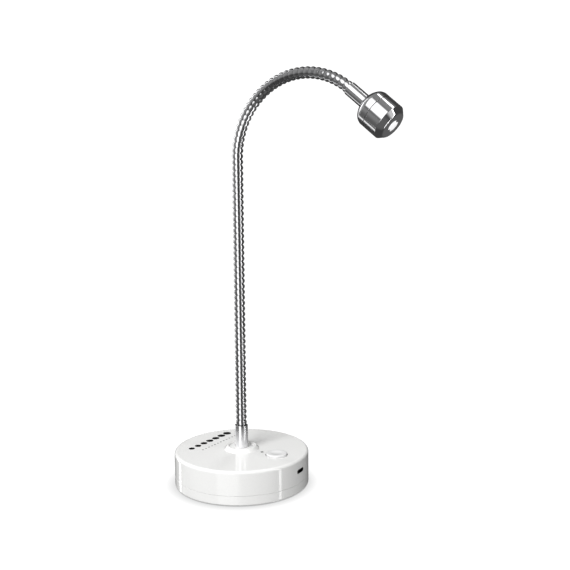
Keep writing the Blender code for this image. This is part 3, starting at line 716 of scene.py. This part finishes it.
def shade_as_tube(piece):
    """Sets the outside's normals almost straight out, so reflections run on over the grooves."""
    mesh = piece.data
    normals = []
    for face in mesh.polygons:
        for index in face.vertices:
            place = mesh.vertices[index].co / MM
            along = along_neck(place)
            centre, turn = neck_station(along)
            out = place - centre
            forwards = Vector((math.sin(turn), 0.0, math.cos(turn)))
            out -= forwards * out.dot(forwards)
            on_skin = (out.length > HOSE_BORE + SKIN_ABOVE_BORE
                       and abs(face.normal.dot(forwards)) < END_FACE_FACING)
            rise = band_ring(along + SLOPE_REACH)[1] - band_ring(along - SLOPE_REACH)[1]
            slope = rise / (2 * SLOPE_REACH)
            straight = out.normalized() - forwards * slope * SHADED_SLOPE
            normals.append(straight.normalized() if on_skin else Vector())
    mesh.normals_split_custom_set(normals)


def ring_across(bm, along, radius):
    place, heading = neck_station(along)
    side = Vector((math.cos(heading), 0.0, -math.sin(heading)))
    ring = []
    for i in range(HOSE_STEPS):
        angle = 2.0 * math.pi * i / HOSE_STEPS
        ring.append(bm.verts.new(place + side * (radius * math.cos(angle))
                                 + Vector((0.0, radius * math.sin(angle), 0.0))))
    return ring


def hose_piece(number, start, end, stands_for):
    """A stretch of banded hose that reaches across one pivot, from one body's stretch to the next."""
    bm = bmesh.new()
    groove = bm.verts.layers.float.new("groove")
    rings = []
    for along, radius, depth in band_stations(start, end):
        ring = ring_across(bm, along, radius)
        for vertex in ring:
            vertex[groove] = depth
        rings.append(ring)
    bore_steps = max(2, round((end - start) / BORE_STEP))
    for i in range(bore_steps + 1):
        rings.append(ring_across(bm, end + (start - end) * i / bore_steps, HOSE_BORE))
    skin(bm, rings, closed_rings=True)
    piece = add_piece(f"hose_{number:02d}", bm, "hose_steel", stands_for=stands_for, sharp=60.0)
    shade_as_tube(piece)
    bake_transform(piece)


def gooseneck():
    bodies = ["base"] + [f"neck_{i:02d}" for i in range(1, len(neck_pivots))] + ["head"]
    pivots = sorted(along_neck(p) for p in neck_pivots)
    middles = [(a + b) / 2 for a, b in zip(pivots, pivots[1:])]
    snapped = [(math.floor(m / BAND_PITCH) + 0.5) * BAND_PITCH for m in middles]
    limits = [-INSIDE_FERRULE, *snapped, NECK_LENGTH + INSIDE_FERRULE]
    for i, pair in enumerate(zip(bodies, bodies[1:])):
        nodes = ["gooseneck_00", "gooseneck_01"] if i == 0 else [f"gooseneck_{i + 1:02d}"]
        hose_piece(i + 1, limits[i], limits[i + 1], nodes)


# ---------------------------------------------------------------- lamp head

SHOULDER_LENGTH = 6.0
SHOULDER_SWEEP = 6.0
SHOULDER_STEP = 0.2
SHOULDER_STEPS = 24
CAP_HOLE_RADIUS = 3.3
CAP_FRONT = 24.1
CAP_SPIGOT_RADIUS = 10.4
CAP_SPIGOT_END = 28.0
CAP_BORE_RADIUS = 8.9
CAP_BORE_START = 20.2
CAP_FLOOR_RADIUS = 7.0
CAP_FLOOR = 17.2
HEAD_SEAM_GAP = 0.25
BARREL_BORE_RADIUS = 10.7
BARREL_BORE_END = 31.2
BARREL_FRONT_EDGE = 34.15
FRONT_FACE_RADIUS = 8.6
FRONT_FACE_ROUND = 2.2
LENS_SEAT_RADIUS = 8.6
LENS_SEAT_START = 32.2
LENS_SEAT_END = 35.4
LENS_OPENING = 4.05
LENS_RADIUS = 3.8
LENS_EDGE_DEPTH = 0.15
LENS_BACK = 32.9
LENS_HOLLOW = ((0.0, 33.9), (1.6, 33.6), (2.6, LENS_BACK))
LENS_FLANGE_RADIUS = 8.2
LENS_FLANGE_FRONT = 34.1
LENS_STEPS = 96
DOME_STEPS = 10
TAB_REACH = 1.5
TAB_HALF_ANGLE = math.radians(22.0)
TAB_PLACE = math.radians(-15.0)


def tab_share(angle):
    """How far the two small tabs at the ends of the lens reach in, from 0 to 1, at an angle."""
    from_tab = abs(math.remainder(angle - TAB_PLACE, math.pi))
    if from_tab >= TAB_HALF_ANGLE:
        return 0.0
    return math.sqrt(1.0 - (from_tab / TAB_HALF_ANGLE) ** 2)


def upper_ferrule():
    shoulder = CAP_START - FERRULE_PLAY
    outline = [(SOCKET_RADIUS, 0.0, 0.1), (UPPER_FERRULE_RADIUS, 0.0, 0.25),
               (UPPER_FERRULE_RADIUS, shoulder, 0.1), (THREAD_RADIUS, shoulder),
               (THREAD_RADIUS, UPPER_THREAD_END), (CABLE_BORE_RADIUS, UPPER_THREAD_END),
               (CABLE_BORE_RADIUS, SOCKET_DEPTH), (SOCKET_RADIUS, SOCKET_DEPTH)]
    ferrule("upper_ferrule_fine", outline, "head", "upper_ferrule", "chrome", head_axis)


def head_rear_cap():
    seam = (BARREL_START + CAP_FRONT) / 2 - HEAD_SEAM_GAP / 2
    shoulder = []
    for i in range(SHOULDER_STEPS + 1):
        behind = SHOULDER_LENGTH * (1 - i / SHOULDER_STEPS)
        radius = HEAD_RADIUS - SHOULDER_STEP - behind ** 2 / SHOULDER_SWEEP
        shoulder.append((radius, CAP_START + SHOULDER_LENGTH - behind))
    edge = CAP_START + SHOULDER_LENGTH
    outline = [(CAP_HOLE_RADIUS, CAP_START), *shoulder, (HEAD_RADIUS, edge + 0.1, 0.05),
               (HEAD_RADIUS, seam, 0.15), (CAP_SPIGOT_RADIUS, seam),
               (CAP_SPIGOT_RADIUS, CAP_SPIGOT_END), (CAP_BORE_RADIUS, CAP_SPIGOT_END),
               (CAP_BORE_RADIUS, CAP_BORE_START), (CAP_FLOOR_RADIUS, CAP_FLOOR),
               (CAP_HOLE_RADIUS, CAP_FLOOR)]
    piece = add_piece("head_rear_cap_fine", turned(rounded(outline)), "head_metal", "head",
                      ("head_rear_cap",), sharp=40.0, at=head_axis)
    even_normals(piece)


def head_barrel():
    seam = (BARREL_START + CAP_FRONT) / 2 + HEAD_SEAM_GAP / 2

    def opening(angle):
        return LENS_OPENING - TAB_REACH * tab_share(angle)

    outline = rounded([
        (BARREL_BORE_RADIUS, seam), (HEAD_RADIUS, seam, 0.15),
        (HEAD_RADIUS, BARREL_FRONT_EDGE, 0.35), (FRONT_FACE_RADIUS, HEAD_FRONT, FRONT_FACE_ROUND),
        (LENS_OPENING, HEAD_FRONT)], closed=False)
    outline[-1] = (opening, HEAD_FRONT)
    outline += [(opening, LENS_SEAT_END), (LENS_SEAT_RADIUS, LENS_SEAT_END),
                (LENS_SEAT_RADIUS, LENS_SEAT_START), (BARREL_BORE_RADIUS, BARREL_BORE_END)]
    piece = add_piece("head_barrel_fine", turned(outline), "head_metal", "head", ("head_barrel",),
                      at=head_axis)
    even_normals(piece)


def lens():
    """Moulded lens: a flange inside the barrel and a low dome in its opening."""
    edge = HEAD_FRONT - LENS_EDGE_DEPTH
    rise = LENS_TOP - edge

    def rim(share):
        return lambda angle: (LENS_RADIUS - TAB_REACH * tab_share(angle)) * share

    outline = [*LENS_HOLLOW, (LENS_FLANGE_RADIUS, LENS_BACK),
               (LENS_FLANGE_RADIUS, LENS_FLANGE_FRONT), (rim(1.0), LENS_FLANGE_FRONT)]
    for i in range(DOME_STEPS):
        lift = math.pi / 2 * i / DOME_STEPS
        outline.append((rim(math.cos(lift)), edge + rise * math.sin(lift)))
    outline.append((0.0, LENS_TOP))
    piece = add_piece("lens_fine", turned(outline, LENS_STEPS), "lens_clear", "head", ("lens",),
                      at=head_axis)
    even_normals(piece)


# ---------------------------------------------------------------- printed mark

MARK_X = -29.6
MARK_REACH = (-19.0, 22.0)
BIG_DOTS = 7
BIG_DOT_RADIUS = 2.2
BIG_DOT_GROWTH = 0.8
SMALL_DOTS = 13
SMALL_DOT_RADIUS = 0.6
SMALL_ROW_BESIDE = 8.4
SMALL_ROW_SHIFT = 2.0
DOT_STEPS = 24
INK_THICKNESS = 0.03


def add_dot(bm, x, y, radius):
    rings = []
    for height in (BASE_TOP - INK_THICKNESS, BASE_TOP + INK_THICKNESS):
        angles = [2 * math.pi * i / DOT_STEPS for i in range(DOT_STEPS)]
        rings.append([bm.verts.new((x + radius * math.cos(a), y + radius * math.sin(a), height))
                      for a in angles])
    skin(bm, rings)
    bm.faces.new(rings[0])
    bm.faces.new(rings[1])


def printed_mark():
    """A plain scale of growing dots with a thin dotted line beside it, printed in black."""
    bm = bmesh.new()
    length = MARK_REACH[1] - MARK_REACH[0]
    for i in range(BIG_DOTS):
        share = i / (BIG_DOTS - 1)
        add_dot(bm, MARK_X, MARK_REACH[0] + length * share,
                BIG_DOT_RADIUS + BIG_DOT_GROWTH * share)
    for i in range(SMALL_DOTS):
        share = i / (SMALL_DOTS - 1)
        add_dot(bm, MARK_X + SMALL_ROW_BESIDE, MARK_REACH[0] + SMALL_ROW_SHIFT + length * share,
                SMALL_DOT_RADIUS)
    add_piece("printed_scale", bm, "black_plastic", "base", finish="ink")


# ---------------------------------------------------------------- studio

CAMERA_PLACE = Vector((342.58, -465.54, 218.80))
CAMERA_HEADING = math.radians(33.241)
CAMERA_PITCH = math.radians(-7.790)
CAMERA_ROLL = math.radians(-0.415)
CAMERA_LENS = 53.613
CAMERA_AZIMUTH = math.atan2(CAMERA_PLACE.x, -CAMERA_PLACE.y)
STUDIO_CENTRE = Vector((40.0, 0.0, 120.0))
PANEL_DISTANCE = 1500.0
FLOOR_REACH = 6000.0
FLOOR_DROP = 0.02


def add_camera():
    data = bpy.data.cameras.new("camera")
    data.lens = CAMERA_LENS
    data.sensor_width = 36.0
    data.clip_start = 0.01
    data.clip_end = 50.0
    camera = bpy.data.objects.new("camera", data)
    bpy.context.collection.objects.link(camera)
    camera.matrix_world = (Matrix.Translation(CAMERA_PLACE * MM)
                           @ Matrix.Rotation(CAMERA_HEADING, 4, "Z")
                           @ Matrix.Rotation(math.pi / 2 + CAMERA_PITCH, 4, "X")
                           @ Matrix.Rotation(CAMERA_ROLL, 4, "Z"))
    bpy.context.scene.camera = camera


def heading(azimuth):
    """Level direction at an azimuth in degrees from the camera, positive to the camera's right."""
    turn = CAMERA_AZIMUTH + math.radians(azimuth)
    return Vector((math.sin(turn), -math.cos(turn), 0.0))


def panel_light(name, azimuth, elevation, width, height, radiance):
    """A panel that lights matt surfaces and casts shadows. Mirrors see it in the world instead."""
    lift = math.radians(elevation)
    towards = heading(azimuth) * math.cos(lift) + Vector((0.0, 0.0, math.sin(lift)))
    data = bpy.data.lights.new(name, "AREA")
    data.shape = "RECTANGLE"
    data.size = 2.0 * PANEL_DISTANCE * math.tan(math.radians(width / 2)) * MM
    data.size_y = 2.0 * PANEL_DISTANCE * math.tan(math.radians(height / 2)) * MM
    data.energy = radiance * math.pi * data.size * data.size_y
    panel = bpy.data.objects.new(name, data)
    bpy.context.collection.objects.link(panel)
    panel.location = (STUDIO_CENTRE + towards * PANEL_DISTANCE) * MM
    panel.rotation_mode = "QUATERNION"
    panel.rotation_quaternion = towards.to_track_quat("Z", "Y")
    panel.visible_camera = False
    panel.visible_glossy = False


def add_floor():
    """A white floor that shows no horizon, with a soft shadow only where the lamp stands on it."""
    size = FLOOR_REACH * MM
    bm = bmesh.new()
    corners = [bm.verts.new((x * size, y * size, -FLOOR_DROP * MM))
               for x, y in ((-1, -1), (1, -1), (1, 1), (-1, 1))]
    bm.faces.new(corners)
    mesh = bpy.data.meshes.new("floor")
    bm.to_mesh(mesh)
    bm.free()
    floor = bpy.data.objects.new("floor", mesh)
    bpy.context.collection.objects.link(floor)
    made = bpy.data.materials.new("pale floor")
    made.use_nodes = True
    tree = made.node_tree
    tree.nodes.clear()
    nearby = tree.nodes.new("ShaderNodeAmbientOcclusion")
    nearby.inputs["Distance"].default_value = SHADOW_REACH * MM
    glow = tree.nodes.new("ShaderNodeMath")
    glow.operation = "MULTIPLY_ADD"
    glow.inputs[1].default_value = BACKDROP - FLOOR_COVERED
    glow.inputs[2].default_value = FLOOR_COVERED
    tree.links.new(nearby.outputs["AO"], glow.inputs[0])
    emission = tree.nodes.new("ShaderNodeEmission")
    tree.links.new(glow.outputs["Value"], emission.inputs["Strength"])
    output = tree.nodes.new("ShaderNodeOutputMaterial")
    tree.links.new(emission.outputs["Emission"], output.inputs["Surface"])
    mesh.materials.append(made)
    floor.visible_glossy = False
    floor.visible_diffuse = False


class SkyNodes:
    """Small helpers that add nodes working on the direction a ray leaves in."""

    def __init__(self, tree):
        self.tree = tree
        self.direction = tree.nodes.new("ShaderNodeTexCoord").outputs["Generated"]

    def math(self, operation, *values):
        node = self.tree.nodes.new("ShaderNodeMath")
        node.operation = operation
        for socket, value in zip(node.inputs, values):
            if isinstance(value, (int, float)):
                socket.default_value = value
            else:
                self.tree.links.new(value, socket)
        return node.outputs["Value"]

    def along(self, vector):
        node = self.tree.nodes.new("ShaderNodeVectorMath")
        node.operation = "DOT_PRODUCT"
        node.inputs[1].default_value = vector
        self.tree.links.new(self.direction, node.inputs[0])
        return node.outputs["Value"]

    def fade(self, value, start, end, first, last):
        node = self.tree.nodes.new("ShaderNodeMapRange")
        node.interpolation_type = "SMOOTHSTEP"
        for name, number in (("From Min", start), ("From Max", end), ("To Min", first),
                             ("To Max", last)):
            node.inputs[name].default_value = number
        self.tree.links.new(value, node.inputs["Value"])
        return node.outputs["Result"]

    def panel(self, azimuth, elevation, width, height, radiance, side_soft, end_soft, lean=0.0):
        """Radiance of a soft-edged panel, all its angles in degrees.

        Below its middle it leans aside, by lean degrees for each degree it goes down."""
        to_side = self.math("ARCTAN2", self.along(heading(azimuth + 90.0)),
                            self.along(heading(azimuth)))
        lift = self.math("ARCSINE", self.along((0.0, 0.0, 1.0)))
        below = self.math("MINIMUM", self.math("SUBTRACT", lift, math.radians(elevation)), 0.0)
        to_side = self.math("ADD", to_side, self.math("MULTIPLY", below, lean))
        share = radiance
        for value, middle, size, soft in ((to_side, 0.0, width, side_soft),
                                          (lift, elevation, height, end_soft)):
            off = self.math("ABSOLUTE", self.math("SUBTRACT", value, math.radians(middle)))
            edge = self.fade(off, math.radians(size - soft) / 2, math.radians(size + soft) / 2,
                             1.0, 0.0)
            share = self.math("MULTIPLY", edge, share)
        return share

    def background(self, strength):
        node = self.tree.nodes.new("ShaderNodeBackground")
        node.inputs["Color"].default_value = (1.0, 1.0, 1.0, 1.0)
        if isinstance(strength, float):
            node.inputs["Strength"].default_value = strength
        else:
            self.tree.links.new(strength, node.inputs["Strength"])
        return node.outputs["Background"]

    def choose(self, factor, first, second):
        node = self.tree.nodes.new("ShaderNodeMixShader")
        for socket, value in zip(node.inputs, (factor, first, second)):
            self.tree.links.new(value, socket)
        return node.outputs["Shader"]


# Panels that mirrors see, as (azimuth, elevation, width, height, radiance, softness of its sides,
# softness of its ends, lean)
MIRRORED_PANELS = (
    (-36.0, 17.0, 38.0, 88.0, 1.6, 9.0, 24.0, 0.32),
    (-105.0, 30.0, 90.0, 70.0, 0.26, 25.0, 25.0),
    (-122.0, 15.0, 40.0, 26.0, 0.6, 15.0, 15.0),
    (48.0, 8.0, 22.0, 50.0, 0.65, 14.0, 20.0),
    (67.5, -40.0, 5.0, 46.0, 5.4, 1.5, 2.0),
    (61.0, 22.0, 5.0, 70.0, 4.5, 1.5, 6.0),
    (70.0, -51.0, 36.0, 26.0, 0.9, 12.0, 8.0),
    (85.0, 70.0, 40.0, 6.0, 3.2, 8.0, 3.0),
    (-131.0, 14.0, 8.0, 72.0, 3.0, 2.0, 3.0),
    (-119.0, -38.0, 11.0, 34.0, 1.1, 9.0, 6.0),
    (-92.0, -28.0, 46.0, 60.0, 0.07, 20.0, 20.0),
    (-100.0, -28.0, 4.0, 6.0, 2.0, 2.0, 2.0),
    (0.0, -48.0, 70.0, 60.0, 0.07, 30.0, 24.0),
    (125.0, -28.0, 60.0, 50.0, 0.07, 36.0, 40.0),
)
# Panels that light matt surfaces, as (name, azimuth, elevation, width, height, radiance)
PANEL_LIGHTS = (
    ("key_light", -38.0, 50.0, 24.0, 36.0, 10.5),
    ("right_light", 52.0, -18.0, 32.0, 54.0, 0.8),
    ("right_strip_light", 67.5, 12.0, 5.0, 116.0, 2.5),
    ("left_back_light", -131.0, 0.0, 8.0, 100.0, 4.0),
    ("back_light", 159.0, 25.0, 12.0, 40.0, 4.0),
)
BACKDROP = 1.1
FLOOR_COVERED = 0.42
SHADOW_REACH = 11.0
MATT_LEVEL = 0.335
MATT_FROM_LEFT = 0.42
MATT_FROM_ABOVE = 0.06
MATT_BRIGHT_AZIMUTH = -30.0
MIRROR_LEVEL = 0.06
MIRROR_OVERHEAD = 0.27
OVERHEAD_START = 0.75
OVERHEAD_END = 0.95


def add_world():
    """White to the camera, panels in the dark to mirrors, and a soft sky to matt surfaces."""
    world = bpy.data.worlds.new("studio")
    bpy.context.scene.world = world
    world.use_nodes = True
    tree = world.node_tree
    tree.nodes.clear()
    sky = SkyNodes(tree)
    slope = (heading(MATT_BRIGHT_AZIMUTH) * MATT_FROM_LEFT
             + Vector((0.0, 0.0, MATT_FROM_ABOVE)))
    matt = sky.math("MAXIMUM", sky.math("ADD", sky.along(slope), MATT_LEVEL), 0.0)
    height = sky.along((0.0, 0.0, 1.0))
    mirrored = sky.fade(height, OVERHEAD_START, OVERHEAD_END, MIRROR_LEVEL, MIRROR_OVERHEAD)
    for panel in MIRRORED_PANELS:
        mirrored = sky.math("ADD", mirrored, sky.panel(*panel))
    rays = tree.nodes.new("ShaderNodeLightPath").outputs
    seen = sky.choose(rays["Is Glossy Ray"], sky.background(matt), sky.background(mirrored))
    seen = sky.choose(rays["Is Camera Ray"], seen, sky.background(BACKDROP))
    output = tree.nodes.new("ShaderNodeOutputWorld")
    tree.links.new(seen, output.inputs["Surface"])
    world.cycles.sampling_method = "NONE"


def add_studio():
    add_camera()
    add_floor()
    add_world()
    for panel in PANEL_LIGHTS:
        panel_light(*panel)
    view = bpy.context.scene.view_settings
    view.view_transform = "Standard"
    view.look = "None"


# ---------------------------------------------------------------- everything

dress_nodes()
base_shell()
bottom_cover()
anti_slip_pad()
push_button()
light_pipe()
charging_port()
lower_ferrule()
gooseneck()
upper_ferrule()
head_rear_cap()
head_barrel()
lens()
printed_mark()
add_studio()
